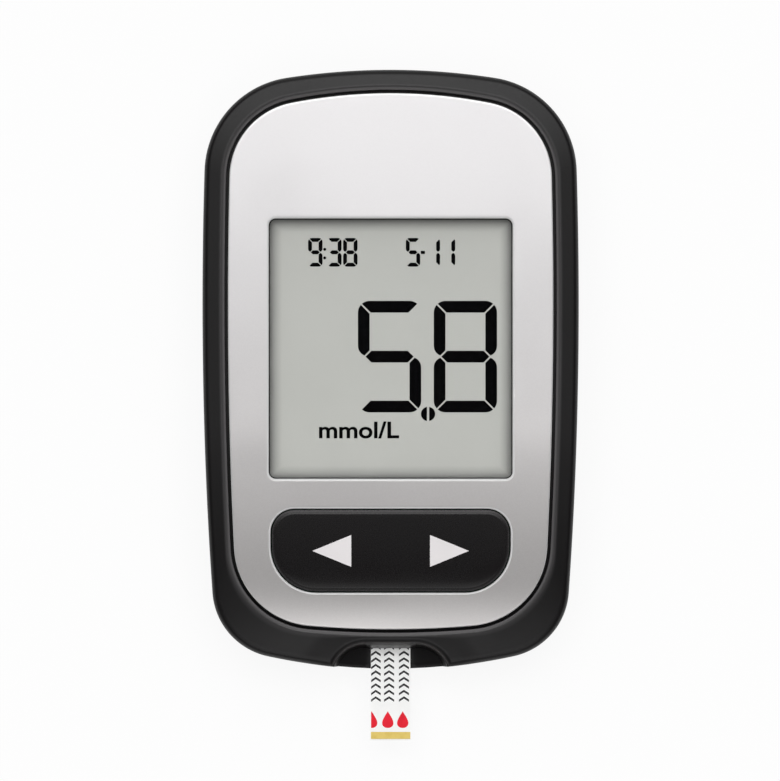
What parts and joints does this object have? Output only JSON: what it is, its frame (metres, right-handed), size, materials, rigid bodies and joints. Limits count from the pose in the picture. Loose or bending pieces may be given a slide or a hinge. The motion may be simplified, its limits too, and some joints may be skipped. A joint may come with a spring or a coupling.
{
  "type": "blood glucose meter",
  "caption": "Pocket blood glucose meter: dark shell, silver face plate, segment display, two-way rocker key, test strip in a slide-out port and a hinged coin cell door.",
  "frame": {"origin": "middle of the flat back, under the middle of the case", "axes": "+Z out of the display, +Y to the top of the meter, strip port at -Y, +X to the right of the display"},
  "size_m": [0.0482, 0.0862, 0.0153],
  "materials": {
    "case_black": "fine-textured satin moulding",
    "plate_silver": "satin silver paint with fine metallic flake",
    "lens_clear": "clear polished pane",
    "display_glass": "clear thin glass",
    "display_film": "grey-green display film",
    "display_reflector": "matt reflector film",
    "holder_white": "plain moulding",
    "contact_rubber": "striped silicone rubber",
    "key_black": "smooth satin moulding",
    "arrow_white": "smooth white inlay",
    "board_green": "solder mask",
    "chip_black": "moulded package",
    "part_ceramic": "ceramic chip parts",
    "tin_plate": "folded tin plate",
    "spring_steel": "stamped spring",
    "contact_gold": "gold-plated contact",
    "screw_steel": "zinc-plated screw",
    "strip_white": "printed polyester film",
    "strip_yellow": "yellow dosing edge",
    "cell_steel": "nickel-plated can",
    "cell_seal": "moulded sealing ring"
  },
  "bodies": {
    "housing": {"front_frame": "case_black", "back_housing": "case_black", "face_plate": "plate_silver", "display_lens": "lens_clear", "display_polariser": "display_film", "display_front_glass": "display_glass", "display_rear_glass": "display_glass", "display_reflector": "display_reflector", "display_holder": "holder_white", "display_contact_rubber": "contact_rubber", "snap_dome_left": "spring_steel", "snap_dome_right": "spring_steel", "main_board": "board_green", "board_screws": "screw_steel", "microcontroller": "chip_black", "strip_amplifier": "chip_black", "clock_crystal": "tin_plate", "board_small_parts": "part_ceramic", "buzzer": "chip_black", "wireless_module": "board_green", "wireless_shield": "tin_plate", "strip_connector": "chip_black", "strip_contacts": "contact_gold", "case_screws": "screw_steel", "coin_cell_can_left": "cell_steel", "coin_cell_cap_left": "cell_steel", "coin_cell_gasket_left": "cell_seal", "positive_contact_left": "spring_steel", "negative_contact_left": "spring_steel", "coin_cell_can_right": "cell_steel", "coin_cell_cap_right": "cell_steel", "coin_cell_gasket_right": "cell_seal", "positive_contact_right": "spring_steel", "negative_contact_right": "spring_steel"},
    "rocker": {"rocker_key": "key_black", "key_arrow_left": "arrow_white", "key_arrow_right": "arrow_white"},
    "battery_door": {"battery_door": "case_black"},
    "test_strip": {"test_strip_base": "strip_white", "test_strip_cover": "strip_white", "test_strip_dosing_edge": "strip_yellow", "test_strip_electrodes": "contact_gold"}
  },
  "joints": [
    {"name": "key_rock", "type": "hinge", "parent": "housing", "child": "rocker", "pos_m": [0, -0.02295, 0.01252], "axis": [0, 0.992, 0.1265], "range_deg": [-2, 2], "stiffness_Nm_per_rad": 0.5, "deforming": ["snap_dome_left", "snap_dome_right"]},
    {"name": "battery_door_open", "type": "hinge", "parent": "housing", "child": "battery_door", "pos_m": [0, 0.00005, 0.0009], "axis": [-1, 0, 0], "range_deg": [0, 75]},
    {"name": "test_strip_slide", "type": "slide", "parent": "housing", "child": "test_strip", "axis": [0, -1, 0], "range_m": [0, 0.025]}
  ]
}
